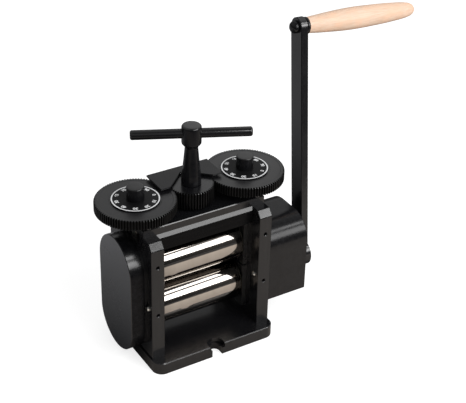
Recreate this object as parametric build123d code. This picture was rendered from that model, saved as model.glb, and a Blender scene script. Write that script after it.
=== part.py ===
from build123d import *
import math
import os

# Jewellers rolling mill: a bench tool that squeezes metal sheet between two steel rolls.
# Frame: X along the rolls with the crank at +X, -Y is the front, +Z is up.
# The origin is the middle of the base plate's underside. All lengths are in millimetres.

os.makedirs("parts", exist_ok=True)

# ---- driving dimensions -------------------------------------------------------------------
# rolls
roll_radius = 27.5
roll_opening = 1.0             # rest gap between the rolls
roll_half_length = 55.5
roll_shoulder_length = 4.5     # duller, slightly smaller end of each roll
roll_shoulder_step = 0.4
lower_axis_z = 57.0
journal_radius = 12.5
close_travel = 0.9             # the upper roll's way down from rest
open_travel = 4.0              # and its way up

# base plate
base_thickness = 15.0
base_side_overhang = 1.5
base_front_overhang = 14.0
base_corner_radius = 12.0
slot_width = 13.0
slot_depth = 13.5
slot_counterbore_width = 20.0
slot_counterbore_length = 14.5
slot_counterbore_depth = 6.0
base_edge = 0.8                # chamfer round the top
base_screw_inset = 15.0        # from the side plates' front and rear faces
base_screw_grip = 20.0         # length in the side plates
base_head_height = 7.0
base_head_clearance = 0.5

# side plates
side_thickness = 16.0
side_depth = 100.0
side_top_z = 169.0
side_bevel_height = 8.0
side_bevel_depth = 6.5
window_width = 42.0
window_sill = 12.0             # metal under the window, above the base plate
accessory_hole_z = (74.0, 138.5)
accessory_hole_radius = 2.1
accessory_hole_depth = 12.0
accessory_hole_mouth = 0.5     # countersink
side_edge = 0.5                # broken edges
oil_nipple_y = -42.0
oil_nipple_z = 82.0
oil_nipple_radius = 3.2
oil_nipple_height = 2.6
oil_nipple_shank_radius = 2.0
oil_nipple_shank_length = 6.0

# bearing blocks and bushes
slide_clearance = 0.05
block_face_clearance = 0.2
lower_block_half_height = 27.0
upper_block_drop = 27.0        # from the roll axis down to the block's lower face
upper_block_rise = 42.0        # and up to its top face
block_ear_half_width = 25.0
block_end_clearance = 0.4      # between a block and the roll's end
block_ear_thickness = 5.55     # shoulder of a block between the roll and the side plate
bush_wall = 3.0
running_clearance = 0.04
seat_clearance = 0.02

# tie bars and top plate
tie_front_y = 35.5
tie_thickness = 7.0
tie_height = 20.0
tie_bevel = 3.5
tie_screw_drop = 9.5
top_plate_thickness = 9.0
top_plate_half_depth = 32.0
top_screw_y = 26.5
top_screw_grip = 14.0          # length in the side plates
top_head_height = 6.0
top_plate_edge = 0.8
tie_screw_grip = 9.0           # length in the tie bars
tie_head_height = 3.5

# adjusting gear
dial_module = 1.0
dial_teeth = 90
pinion_teeth = 50
dial_thickness = 12.0
dial_lift = 10.0               # dial gear's underside above the top plate
dial_backlash = 0.2
dial_screw_radius = 5.0
dial_screw_depth = 20.0        # screw's lower end below the upper block's top at rest
dial_screw_spare = 6.0         # bore left under the screw's end at rest
dial_collar_radius = 7.2
dial_collar_thickness = 4.0
collar_gap = 0.1               # between the collars and the top plate
dial_boss_radius = 14.0
dial_boss_gap = 0.3
dial_disc_radius = 27.5
dial_disc_thickness = 1.5
dial_knob_radius = 10.0
dial_knob_height = 15.5
screw_pitch = 2.0              # block travel per turn of a dial

# spindle, pinion and cross bar
pinion_height = 21.0
pinion_top_rise = 1.0          # above the dial gears' top faces
spindle_shaft_radius = 8.0
spindle_bush_wall = 3.0
spindle_flange_radius = 14.0
spindle_flange_thickness = 1.8
spindle_collar_radius = 11.5
spindle_collar_thickness = 4.0
spindle_foot_radius = 11.4
spindle_waist_radius = 10.9
spindle_taper_radius = 8.9
spindle_neck_radius = 7.4
hub_radius = 11.2
hub_chamfer = 1.5
spindle_waist_z = 213.0
spindle_taper_z = 231.0
spindle_neck_z = 247.8
hub_bottom_z = 252.5
hub_top_z = 274.2
cross_bar_z = 263.9
cross_bar_radius = 5.5
cross_bar_length = 134.5
cross_bar_chamfer = 1.5
cross_bar_angle = -24.8        # rest angle about the spindle

# indicator plate
indicator_half_width = 39.0
indicator_front_y = -1.8
indicator_back_y = 33.0
indicator_thickness = 2.0
indicator_gap = 1.2            # above the dial discs' top faces
indicator_notch_half_width = 27.4   # V-notch round the spindle, at the front edge
indicator_notch_depth = 25.3
indicator_notch_radius = 5.0
indicator_post_x = 14.0
indicator_post_y = 28.0
indicator_post_radius = 3.5

# synchronising gears and the left cover
sync_module = 2.5
sync_teeth = 22
sync_addendum = 3.0
sync_dedendum = 3.6
sync_backlash = 0.2
sync_width = 9.0
sync_seat_radius = 10.0
sync_gap = 1.9                 # between the back plate and the gears
retainer_radius = 13.0
retainer_thickness = 1.6
cover_back_thickness = 3.0
cover_groove = 1.0             # dark line between back plate and cover
cover_depth = 17.0             # from the back plate to the outer face
cover_radius = 38.6
cover_upper_z = 119.2
cover_lower_z = 49.6
cover_wall = 3.0
cover_edge = 0.6
cover_foot_gap = 0.2           # between the base plate and the clipped back plate
cover_boss_y = 30.0
cover_boss_radius = 4.5
cover_screw_radius = 2.0
cover_screw_grip = 7.0         # length in the cover's bosses
cover_head_height = 4.0
back_hole_clearance = 1.0

# reduction gears and the right housing: two stages on one centre distance
first_stage_module = 1.0
crank_pinion_teeth = 18
counter_gear_teeth = 57
second_stage_module = 1.5
counter_pinion_teeth = 28
output_gear_teeth = 22
reduction_backlash = 0.2
first_stage_width = 14.0
second_stage_width = 14.0
output_gear_gap = 2.0
stage_gap = 2.0
output_seat_radius = 11.0
counter_shaft_radius = 6.0
counter_sleeve_radius = 9.0
counter_sleeve_end = 2.0
gearbox_back_thickness = 4.0
housing_depth = 53.5           # from the back plate to the outer face
housing_half_width = 42.0
housing_top_clearance = 5.5    # over the countershaft gear
housing_foot_drop = 20.2       # below the crank axis
housing_corner_radius = 30.0
housing_wall = 4.0
housing_edge = 0.8
housing_boss_radius = 17.0
housing_boss_depth = 12.0
housing_screw_y = 35.0
housing_screw_z = (46.0, 98.0)
housing_screw_radius = 2.5
housing_screw_grip = 10.0      # length in the side plate
housing_head_height = 3.0

# crank, handle bolt and grip
crank_shaft_radius = 9.0
crank_spigot_radius = 6.0
crank_spigot_length = 12.0
crank_arm_gap = 14.7           # between the housing and the arm's inner face at the crank axis
crank_arm_thickness = 10.0
crank_arm_width = 22.2
crank_arm_length = 282.8
crank_boss_radius = 16.5
crank_boss_thickness = 12.0
crank_lean_out = 3.6           # arm leans away from the mill
crank_lean_back = 10.6         # rest angle about the crank axis
crank_disc_radius = 12.0
crank_disc_recess = 3.0
handle_bolt_radius = 5.0
handle_bolt_length = 140.0
handle_head_radius = 7.45
handle_head_height = 8.0
handle_head_flat = 0.8
handle_head_rim = 2.2
ferrule_gap = 0.3
ferrule_radius = 10.0
ferrule_length = 4.0
grip_length = 156.0
grip_end_flat = 0.8
# turned grip outline: (share of its length from the ferrule, radius)
grip_outline = ((0.0, 9.3), (0.21, 11.9), (0.4, 13.2), (0.59, 12.7), (0.78, 11.3), (0.925, 9.0), (0.975, 6.3))

# screws
screw_m4_radius = 2.0
screw_m5_radius = 2.5
screw_m6_radius = 3.0
screw_m8_radius = 4.0
head_ratio = 1.65              # cap screw head radius over screw radius

# ---- derived places -----------------------------------------------------------------------
side_inner_x = roll_half_length + block_end_clearance + block_ear_thickness + slide_clearance
side_outer_x = side_inner_x + side_thickness
side_mid_x = side_inner_x + side_thickness / 2
side_half_depth = side_depth / 2
base_half_width = side_outer_x + base_side_overhang
base_half_depth = side_half_depth + base_front_overhang
window_half = window_width / 2
window_bottom_z = base_thickness + window_sill
upper_axis_z = lower_axis_z + 2 * roll_radius + roll_opening
block_inner_x = roll_half_length + block_end_clearance
block_outer_x = side_outer_x - block_face_clearance
bush_radius = journal_radius + bush_wall
lower_block_top_z = lower_axis_z + lower_block_half_height
upper_block_bottom_z = upper_axis_z - upper_block_drop
upper_block_top_z = upper_axis_z + upper_block_rise
tie_back_y = tie_front_y - tie_thickness
tie_bottom_z = side_top_z - tie_height
tie_screw_z = side_top_z - tie_screw_drop
tie_screw_y = (tie_front_y + tie_back_y) / 2
top_plate_top_z = side_top_z + top_plate_thickness

dial_axis_x = dial_module * (dial_teeth + pinion_teeth) / 2
dial_bottom_z = top_plate_top_z + dial_lift
dial_top_z = dial_bottom_z + dial_thickness
dial_disc_top_z = dial_top_z + dial_disc_thickness
pinion_top_z = dial_top_z + pinion_top_rise
pinion_bottom_z = pinion_top_z - pinion_height
indicator_bottom_z = dial_disc_top_z + indicator_gap
screw_tip_z = upper_block_top_z - dial_screw_depth

cover_back_x = side_outer_x + cover_back_thickness
cover_outer_x = -cover_back_x - cover_depth
sync_inner_x = cover_back_x + sync_gap
sync_outer_x = sync_inner_x + sync_width
retainer_outer_x = sync_outer_x + retainer_thickness
cover_boss_z = (cover_upper_z + cover_lower_z) / 2

counter_axis_z = lower_axis_z + first_stage_module * (crank_pinion_teeth + counter_gear_teeth) / 2
counter_tip_radius = first_stage_module * (counter_gear_teeth / 2 + 1)
housing_top_z = counter_axis_z + counter_tip_radius + housing_top_clearance + housing_wall
housing_bottom_z = lower_axis_z - housing_foot_drop
gearbox_back_x = side_outer_x + gearbox_back_thickness
housing_end_x = gearbox_back_x + housing_depth
output_inner_x = gearbox_back_x + output_gear_gap
output_outer_x = output_inner_x + second_stage_width
first_stage_inner_x = output_outer_x + stage_gap
first_stage_outer_x = first_stage_inner_x + first_stage_width
housing_wall_x = housing_end_x - housing_wall
housing_boss_x = housing_wall_x - housing_boss_depth
crank_bush_radius = crank_shaft_radius + bush_wall
crank_arm_x = housing_end_x + crank_arm_gap
crank_boss_inner_x = crank_arm_x + (crank_arm_thickness - crank_boss_thickness) / 2
crank_boss_outer_x = crank_boss_inner_x + crank_boss_thickness


# ---- shape helpers ------------------------------------------------------------------------
def box(x0, x1, y0, y1, z0, z1):
    """Block between two corners."""
    size = (x1 - x0, y1 - y0, z1 - z0)
    return Pos((x0 + x1) / 2, (y0 + y1) / 2, (z0 + z1) / 2) * Box(*size)


def rod_z(radius, z0, z1, x=0.0, y=0.0):
    """Upright cylinder."""
    return Pos(x, y, (z0 + z1) / 2) * Cylinder(radius, z1 - z0)


def rod_x(radius, x0, x1, y=0.0, z=0.0):
    """Cylinder along X."""
    return Pos((x0 + x1) / 2, y, z) * Rot(0, 90, 0) * Cylinder(radius, x1 - x0)


def rod_y(radius, y0, y1, x=0.0, z=0.0):
    """Cylinder along Y."""
    return Pos(x, (y0 + y1) / 2, z) * Rot(90, 0, 0) * Cylinder(radius, y1 - y0)


def along_x(shape, x=0.0, y=0.0, z=0.0):
    """Turns a shape made about Z so that its axis lies along X and its own +Y points up."""
    return Plane(origin=(x, y, z), x_dir=(0, 1, 0), z_dir=(1, 0, 0)) * shape


def profile_x(face, x0, x1):
    """Extrudes a face drawn as (Y, Z) from x0 to x1."""
    plane = Plane(origin=(x0, 0, 0), x_dir=(0, 1, 0), z_dir=(1, 0, 0))
    return extrude(plane * face, amount=x1 - x0)


def revolve_z(points):
    """Turned piece about Z from (radius, height) points that start and end on the axis."""
    face = make_face(Polyline(*points, close=True))
    return revolve(Plane.XZ * face, Axis.Z)


def cap_screw(radius, length, head_height):
    """Cap screw about Z: its shank goes down from 0, its head stands above 0 with a hex socket."""
    head_radius = radius * head_ratio
    head = rod_z(head_radius, 0, head_height)
    head = chamfer(head.edges().group_by(Axis.Z)[-1], head_height * 0.12)
    socket = extrude(RegularPolygon(radius * 0.8, 6), amount=head_height)
    socket = Pos(0, 0, head_height * 0.45) * socket
    return head + rod_z(radius, -length, 0) - socket


def involute_flank(base_radius, radius):
    """Point on the involute of a base circle at a radius: its (radius, angle) in radians."""
    slope = math.sqrt((radius / base_radius) ** 2 - 1)
    return radius, slope - math.atan(slope)


def spur_gear(module, teeth, width, backlash, tooth_angle, addendum=None, dedendum=None):
    """Spur gear about Z from 0 to width with a 20 degree pressure angle.

    One tooth is centred on tooth_angle, in degrees from +X. Each flank is an arc through
    three points of the involute, and the root and tip are straight chords.
    """
    addendum = module if addendum is None else addendum
    dedendum = 1.25 * module if dedendum is None else dedendum
    pitch_radius = module * teeth / 2
    base_radius = pitch_radius * math.cos(math.radians(20))
    tip_radius = pitch_radius + addendum
    root_radius = pitch_radius - dedendum
    start_radius = max(base_radius * 1.0005, root_radius)
    pitch_slope = math.tan(math.radians(20)) - math.radians(20)
    half_tooth = math.pi / 2 / teeth - backlash / 2 / pitch_radius / 2

    def flank_point(radius, centre, side):
        roll_angle = half_tooth + pitch_slope - involute_flank(base_radius, radius)[1]
        angle = centre + side * roll_angle
        return radius * math.cos(angle), radius * math.sin(angle)

    middle_radius = (start_radius + tip_radius) / 2
    edges = []
    previous = None
    first = None
    for tooth in range(teeth):
        centre = math.radians(tooth_angle) + 2 * math.pi * tooth / teeth
        left = [flank_point(r, centre, -1) for r in (start_radius, middle_radius, tip_radius)]
        right = [flank_point(r, centre, 1) for r in (tip_radius, middle_radius, start_radius)]
        foot_angles = [math.atan2(p[1], p[0]) for p in (left[0], right[2])]
        feet = [(root_radius * math.cos(a), root_radius * math.sin(a)) for a in foot_angles]
        if previous is not None:
            edges.append(Line(previous, feet[0]))
        else:
            first = feet[0]
        if start_radius > root_radius + 1e-6:
            edges.append(Line(feet[0], left[0]))
        edges.append(ThreePointArc(*left))
        edges.append(Line(left[2], right[0]))
        edges.append(ThreePointArc(*right))
        if start_radius > root_radius + 1e-6:
            edges.append(Line(right[2], feet[1]))
        previous = feet[1]
    edges.append(Line(previous, first))
    return extrude(make_face(edges), amount=width)


def obround_yz(radius, low_z, high_z):
    """Upright obround face drawn as (Y, Z)."""
    middle = Pos(0, (low_z + high_z) / 2) * Rectangle(2 * radius, high_z - low_z)
    return middle + Pos(0, low_z) * Circle(radius) + Pos(0, high_z) * Circle(radius)


def housing_face(inset):
    """Gearbox outline drawn as (Y, Z), its sides and top moved in by inset; the foot stays."""
    half = housing_half_width - inset
    top = housing_top_z - inset
    corner = housing_corner_radius - inset
    flat = half - corner
    spring_z = top - corner
    diagonal = corner * math.sqrt(0.5)
    edges = [
        Line((-half, housing_bottom_z), (half, housing_bottom_z)),
        Line((half, housing_bottom_z), (half, spring_z)),
        ThreePointArc((half, spring_z), (flat + diagonal, spring_z + diagonal), (flat, top)),
        Line((flat, top), (-flat, top)),
        ThreePointArc((-flat, top), (-flat - diagonal, spring_z + diagonal), (-half, spring_z)),
        Line((-half, spring_z), (-half, housing_bottom_z)),
    ]
    return make_face(edges)


parts = {}

# ---- base plate: one thick plate with rounded corners and a stepped U-slot front and rear ---
base = box(-base_half_width, base_half_width, -base_half_depth, base_half_depth, 0, base_thickness)
base = fillet(base.edges().filter_by(Axis.Z), base_corner_radius)
base = chamfer(base.edges().group_by(Axis.Z)[-1], base_edge)
for side in (-1, 1):
    slot_end = base_half_depth - slot_depth + slot_width / 2
    slot = rod_z(slot_width / 2, -1, base_thickness + 1, 0, side * slot_end)
    slot_box = box(-slot_width / 2, slot_width / 2, slot_end, base_half_depth + 1, -1, base_thickness + 1)
    step_end = base_half_depth - slot_counterbore_length + slot_counterbore_width / 2
    step_z = base_thickness - slot_counterbore_depth
    half_step = slot_counterbore_width / 2
    step = rod_z(half_step, step_z, base_thickness + 1, 0, side * step_end)
    step_box = box(-half_step, half_step, step_end, base_half_depth + 1, step_z, base_thickness + 1)
    base = base - slot - step
    base = base - (slot_box if side > 0 else mirror(slot_box, Plane.XZ))
    base = base - (step_box if side > 0 else mirror(step_box, Plane.XZ))

base_screw_y = side_half_depth - base_screw_inset
base_screw_length = base_thickness - base_head_height + base_screw_grip
base_screw_places = [(sx * side_mid_x, sy * base_screw_y) for sx in (-1, 1) for sy in (-1, 1)]
base_screws = []
for x, y in base_screw_places:
    screw = Pos(x, y, base_head_height) * Rot(180, 0, 0) * cap_screw(
        screw_m8_radius, base_screw_length, base_head_height - base_head_clearance)
    base_screws.append(screw)
    base = base - rod_z(screw_m8_radius + seat_clearance, -1, base_thickness + 1, x, y)
    base = base - rod_z(screw_m8_radius * head_ratio + 0.4, -1, base_head_height, x, y)
parts["base_plate"] = base
parts["base_screws"] = Compound(children=base_screws)

# ---- side plates: upright plates with an open-topped window for the bearing blocks ----------
lower_sill = [(-side_half_depth, base_thickness), (side_half_depth, base_thickness)]
bevel_z = side_top_z - side_bevel_height
bevel_y = side_half_depth - side_bevel_depth
side_outline = lower_sill + [(side_half_depth, bevel_z), (bevel_y, side_top_z),
                             (-bevel_y, side_top_z), (-side_half_depth, bevel_z)]
side_plate = profile_x(make_face(Polyline(*side_outline, close=True)), side_inner_x, side_outer_x)
side_plate = chamfer([edge for edge in side_plate.edges() if edge.center().Z > base_thickness + 0.1],
                     side_edge)
side_plate = side_plate - box(side_inner_x - 1, side_outer_x + 1, -window_half, window_half,
                              window_bottom_z, side_top_z + 1)
for z in accessory_hole_z:
    for side in (-1, 1):
        y0, y1 = sorted((side * (side_half_depth - accessory_hole_depth), side * (side_half_depth + 1)))
        side_plate = side_plate - rod_y(accessory_hole_radius, y0, y1, side_mid_x, z)
        mouth = Pos(side_mid_x, side * side_half_depth, z) * Rot(-90 * side, 0, 0) * Cone(
            accessory_hole_radius, accessory_hole_radius + 2 * accessory_hole_mouth,
            2 * accessory_hole_mouth)
        side_plate = side_plate - mouth
for x, y in base_screw_places[2:]:
    side_plate = side_plate - rod_z(screw_m8_radius + seat_clearance, base_thickness - 1,
                                    base_head_height + base_screw_length + 1, x, y)
tie_screw_length = side_thickness + tie_screw_grip
for side in (-1, 1):
    y = side * tie_screw_y
    side_plate = side_plate - rod_x(screw_m4_radius + seat_clearance, side_inner_x - 1, side_outer_x + 1,
                                    y, tie_screw_z)
    side_plate = side_plate - rod_x(screw_m4_radius * head_ratio + 0.3, side_outer_x - tie_head_height,
                                    side_outer_x + 1, y, tie_screw_z)
    side_plate = side_plate - rod_z(screw_m6_radius + seat_clearance, side_top_z - top_screw_grip - 1,
                                    side_top_z + 1, side_mid_x, side * top_screw_y)
left_plate = mirror(side_plate, Plane.YZ)
right_plate = side_plate

# oil nipples face -X on both side plates: the left one outside, the right one inside
nipple = revolve_z([
    (0, -oil_nipple_shank_length), (oil_nipple_shank_radius, -oil_nipple_shank_length),
    (oil_nipple_shank_radius, 0), (oil_nipple_radius, 0), (oil_nipple_radius, oil_nipple_height * 0.45),
    (oil_nipple_radius * 0.55, oil_nipple_height), (0, oil_nipple_height)])
nipples = []
for face_x in (-side_outer_x, side_inner_x):
    plane = Plane(origin=(face_x, oil_nipple_y, oil_nipple_z), x_dir=(0, 1, 0), z_dir=(-1, 0, 0))
    nipples.append(plane * nipple)
    hole = rod_x(oil_nipple_shank_radius + seat_clearance, face_x - 1,
                 face_x + oil_nipple_shank_length + 0.5, oil_nipple_y, oil_nipple_z)
    left_plate = left_plate - hole if face_x < 0 else left_plate
    right_plate = right_plate - hole if face_x > 0 else right_plate
parts["oil_nipples"] = Compound(children=nipples)

# ---- tie bars and top plate: hold the side plates apart -------------------------------------
tie_outline = [(-tie_back_y, tie_bottom_z), (-tie_back_y, side_top_z),
               (-tie_front_y + tie_bevel, side_top_z), (-tie_front_y, side_top_z - tie_bevel),
               (-tie_front_y, tie_bottom_z)]
front_tie = profile_x(make_face(Polyline(*tie_outline, close=True)), -side_inner_x, side_inner_x)
for face_x in (-side_inner_x, side_inner_x):
    inward = -1 if face_x > 0 else 1
    x0, x1 = sorted((face_x - inward, face_x + inward * (tie_screw_grip + 3.0)))
    front_tie = front_tie - rod_x(screw_m4_radius + seat_clearance, x0, x1, -tie_screw_y, tie_screw_z)
parts["front_tie_bar"] = front_tie
parts["rear_tie_bar"] = mirror(front_tie, Plane.XZ)
tie_screws = []
for side_x in (-1, 1):
    for side_y in (-1, 1):
        seat_x = side_x * (side_outer_x - tie_head_height)
        plane = Plane(origin=(seat_x, side_y * tie_screw_y, tie_screw_z), x_dir=(0, 1, 0),
                      z_dir=(side_x, 0, 0))
        tie_screws.append(plane * cap_screw(screw_m4_radius, tie_screw_length - tie_head_height,
                                            tie_head_height - 0.3))
parts["tie_bar_screws"] = Compound(children=tie_screws)

spindle_bush_radius = spindle_shaft_radius + spindle_bush_wall
top_plate = box(-side_outer_x, side_outer_x, -top_plate_half_depth, top_plate_half_depth,
                side_top_z, top_plate_top_z)
top_plate = chamfer(top_plate.edges().group_by(Axis.Z)[-1], top_plate_edge)
top_plate = top_plate - rod_z(spindle_bush_radius + seat_clearance, side_top_z - 1, top_plate_top_z + 1)
top_screws = []
for side_x in (-1, 1):
    top_plate = top_plate - rod_z(dial_screw_radius + running_clearance, side_top_z - 1,
                                  top_plate_top_z + 1, side_x * dial_axis_x)
    for side_y in (-1, 1):
        x, y = side_x * side_mid_x, side_y * top_screw_y
        top_plate = top_plate - rod_z(screw_m6_radius + seat_clearance, side_top_z - 1,
                                      top_plate_top_z + 1, x, y)
        top_screws.append(Pos(x, y, top_plate_top_z) * cap_screw(
            screw_m6_radius, top_plate_thickness + top_screw_grip, top_head_height))
parts["top_plate"] = top_plate
parts["top_plate_screws"] = Compound(children=top_screws)

spindle_bush = rod_z(spindle_bush_radius, side_top_z, top_plate_top_z)
spindle_bush = spindle_bush + rod_z(spindle_flange_radius, top_plate_top_z,
                                    top_plate_top_z + spindle_flange_thickness)
spindle_bush = spindle_bush - rod_z(spindle_shaft_radius + running_clearance, side_top_z - 1,
                                    top_plate_top_z + spindle_flange_thickness + 1)
parts["spindle_bush"] = spindle_bush

# ---- indicator plate: thin steel plate on two posts behind the pinion -----------------------
indicator = box(-indicator_half_width, indicator_half_width, indicator_front_y, indicator_back_y,
                indicator_bottom_z, indicator_bottom_z + indicator_thickness)
notch_spread = indicator_notch_half_width * (1 + 1 / indicator_notch_depth)
notch_outline = [(-notch_spread, indicator_front_y - 1), (notch_spread, indicator_front_y - 1),
                 (0, indicator_front_y + indicator_notch_depth)]
notch = extrude(make_face(Polyline(*notch_outline, close=True)), amount=indicator_thickness + 2)
notch = fillet(notch.edges().filter_by(Axis.Z).sort_by(Axis.Y)[-1], indicator_notch_radius)
indicator = indicator - Pos(0, 0, indicator_bottom_z - 1) * notch
parts["indicator_plate"] = indicator
posts = [rod_z(indicator_post_radius, top_plate_top_z, indicator_bottom_z, side * indicator_post_x,
               indicator_post_y) for side in (-1, 1)]
parts["indicator_posts"] = Compound(children=posts)


# ---- bearing blocks: slide in the windows, with a shoulder that bears on the inner faces ----
def bearing_block(bottom_z, top_z, axis_z):
    """Right-hand bearing block with its bush hole."""
    body = box(side_inner_x - 0.5, block_outer_x, -window_half + slide_clearance,
               window_half - slide_clearance, bottom_z, top_z)
    ears = box(block_inner_x, side_inner_x - slide_clearance, -block_ear_half_width,
               block_ear_half_width, bottom_z, top_z)
    return body + ears - rod_x(bush_radius + seat_clearance, block_inner_x - 1, block_outer_x + 1,
                               0, axis_z)


def bearing_bush(axis_z):
    """Right-hand bronze bush."""
    bush = rod_x(bush_radius, block_inner_x, block_outer_x, 0, axis_z)
    return bush - rod_x(journal_radius + running_clearance, block_inner_x - 1, block_outer_x + 1,
                        0, axis_z)


lower_block = bearing_block(window_bottom_z, lower_block_top_z, lower_axis_z)
upper_block = bearing_block(upper_block_bottom_z, upper_block_top_z, upper_axis_z)
upper_block = upper_block - rod_z(dial_screw_radius + running_clearance,
                                  screw_tip_z - dial_screw_spare, upper_block_top_z + 1, dial_axis_x)
for label, block, axis_z in (("lower", lower_block, lower_axis_z), ("upper", upper_block, upper_axis_z)):
    left, right = mirror(block, Plane.YZ), block
    parts[label + "_left_bearing_block"] = left
    parts[label + "_right_bearing_block"] = right
    bush = bearing_bush(axis_z)
    parts[label + "_left_bush"] = mirror(bush, Plane.YZ)
    parts[label + "_right_bush"] = bush


# ---- rolls: ground steel with turned journals ------------------------------------------------
def roll(axis_z, right_end_x):
    """Roll with its left journal stepped down for the synchronising gear."""
    face_half = roll_half_length - roll_shoulder_length
    body = rod_x(roll_radius, -face_half, face_half)
    shoulder = rod_x(roll_radius - roll_shoulder_step, -roll_half_length, roll_half_length)
    shoulder = chamfer(shoulder.edges().filter_by(GeomType.CIRCLE), 1.0)
    journals = rod_x(journal_radius, -cover_back_x - 0.5, right_end_x)
    seat = rod_x(sync_seat_radius, -sync_outer_x, -cover_back_x)
    return Pos(0, 0, axis_z) * (body + shoulder + journals + seat)


lower_roll = roll(lower_axis_z, output_inner_x)
lower_roll = lower_roll + rod_x(output_seat_radius, output_inner_x - 1, output_outer_x, 0, lower_axis_z)
lower_roll = lower_roll - rod_x(crank_spigot_radius + running_clearance,
                                output_outer_x - crank_spigot_length - 1, output_outer_x + 1,
                                0, lower_axis_z)
parts["lower_roll"] = lower_roll
parts["upper_roll"] = roll(upper_axis_z, block_outer_x)

# ---- synchronising gears: long teeth stay in mesh while the upper roll rises -----------------
for label, axis_z, tooth_angle in (("lower", lower_axis_z, 90.0),
                                   ("upper", upper_axis_z, -90.0 + 180.0 / sync_teeth)):
    gear = spur_gear(sync_module, sync_teeth, sync_width, sync_backlash, tooth_angle,
                     sync_addendum, sync_dedendum)
    gear = gear - rod_z(sync_seat_radius + seat_clearance, -1, sync_width + 1)
    parts[label + "_sync_gear"] = along_x(gear, -sync_outer_x, 0, axis_z)
    disc = revolve_z([(0, 0), (retainer_radius, 0), (retainer_radius, retainer_thickness),
                      (4.0, retainer_thickness), (4.0, retainer_thickness * 0.4),
                      (0, retainer_thickness * 0.4)])
    plane = Plane(origin=(-sync_outer_x, 0, axis_z), x_dir=(0, 1, 0), z_dir=(-1, 0, 0))
    parts[label + "_gear_retainer"] = plane * disc

# ---- left cover: obround drum over the synchronising gears, on a thin back plate -------------
back_face = obround_yz(cover_radius, cover_lower_z, cover_upper_z)
back_hole = journal_radius + back_hole_clearance
slot_face = obround_yz(back_hole, upper_axis_z - close_travel, upper_axis_z + open_travel)
left_back = profile_x(back_face, -cover_back_x, -side_outer_x)
left_back = left_back - profile_x(slot_face, -cover_back_x - 1, -side_outer_x + 1)
left_back = left_back - rod_x(back_hole, -cover_back_x - 1, -side_outer_x + 1, 0, lower_axis_z)
left_back = left_back - box(-cover_back_x - 1, -side_outer_x + 1, -cover_radius, cover_radius,
                            0, base_thickness + cover_foot_gap)
cover = profile_x(back_face, cover_outer_x, -cover_back_x)
cover = chamfer(cover.edges().group_by(Axis.X)[0], cover_edge)
groove_face = back_face - obround_yz(cover_radius - cover_groove, cover_lower_z, cover_upper_z)
cover = cover - profile_x(groove_face, -cover_back_x - cover_groove, -cover_back_x + 1)
inner_face = obround_yz(cover_radius - cover_wall, cover_lower_z, cover_upper_z)
cover = cover - profile_x(inner_face, cover_outer_x + cover_wall, -cover_back_x + 1)
cover_screw_length = side_thickness + cover_back_thickness + cover_screw_grip
cover_screws = []
for side in (-1, 1):
    y = side * cover_boss_y
    boss = rod_x(cover_boss_radius, cover_outer_x + cover_wall - 0.5, -cover_back_x, y, cover_boss_z)
    web_y = sorted((y, side * (cover_radius - cover_wall + 0.5)))
    web = box(cover_outer_x + cover_wall - 0.5, -cover_back_x, web_y[0], web_y[1],
              cover_boss_z - 2.0, cover_boss_z + 2.0)
    cover = cover + boss + web
    cover = cover - rod_x(cover_screw_radius + seat_clearance, cover_outer_x + cover_wall + 1,
                          -cover_back_x + 1, y, cover_boss_z)
    left_back = left_back - rod_x(cover_screw_radius + seat_clearance, -cover_back_x - 1,
                                  -side_outer_x + 1, y, cover_boss_z)
    left_plate = left_plate - rod_x(cover_screw_radius + seat_clearance, -side_outer_x - 1,
                                    -side_inner_x + 1, y, cover_boss_z)
    left_plate = left_plate - rod_x(cover_screw_radius * head_ratio + 0.3,
                                    -side_inner_x - cover_head_height, -side_inner_x + 1, y, cover_boss_z)
    plane = Plane(origin=(-side_inner_x - cover_head_height, y, cover_boss_z), x_dir=(0, 1, 0),
                  z_dir=(1, 0, 0))
    cover_screws.append(plane * cap_screw(cover_screw_radius, cover_screw_length - cover_head_height,
                                          cover_head_height - 0.3))
parts["left_cover_back_plate"] = left_back
parts["left_gear_cover"] = cover
parts["left_cover_screws"] = Compound(children=cover_screws)

# ---- reduction gears: crank pinion, countershaft pair and output gear on the lower roll ------
output_gear = spur_gear(second_stage_module, output_gear_teeth, second_stage_width,
                        reduction_backlash, 90.0)
output_gear = output_gear - rod_z(output_seat_radius + seat_clearance, -1, second_stage_width + 1)
parts["output_gear"] = along_x(output_gear, output_inner_x, 0, lower_axis_z)
counter_pinion = spur_gear(second_stage_module, counter_pinion_teeth, second_stage_width,
                           reduction_backlash, -90.0 + 180.0 / counter_pinion_teeth)
counter_pinion = counter_pinion - rod_z(counter_sleeve_radius + seat_clearance, -1,
                                        second_stage_width + 1)
parts["countershaft_pinion"] = along_x(counter_pinion, output_inner_x, 0, counter_axis_z)
counter_gear = spur_gear(first_stage_module, counter_gear_teeth, first_stage_width,
                         reduction_backlash, -90.0 + 180.0 / counter_gear_teeth)
counter_gear = counter_gear - rod_z(counter_sleeve_radius + seat_clearance, -1, first_stage_width + 1)
parts["countershaft_gear"] = along_x(counter_gear, first_stage_inner_x, 0, counter_axis_z)
sleeve_end_x = first_stage_outer_x + counter_sleeve_end
sleeve = rod_x(counter_sleeve_radius, gearbox_back_x + 0.5, sleeve_end_x, 0, counter_axis_z)
sleeve = sleeve + rod_x(counter_sleeve_radius + 3.0, output_outer_x, first_stage_inner_x, 0,
                        counter_axis_z)
sleeve = sleeve - rod_x(counter_shaft_radius + running_clearance, gearbox_back_x - 1,
                        sleeve_end_x + 1, 0, counter_axis_z)
parts["countershaft_sleeve"] = sleeve
parts["countershaft"] = rod_x(counter_shaft_radius, side_outer_x + 0.5, housing_wall_x, 0, counter_axis_z)

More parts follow.
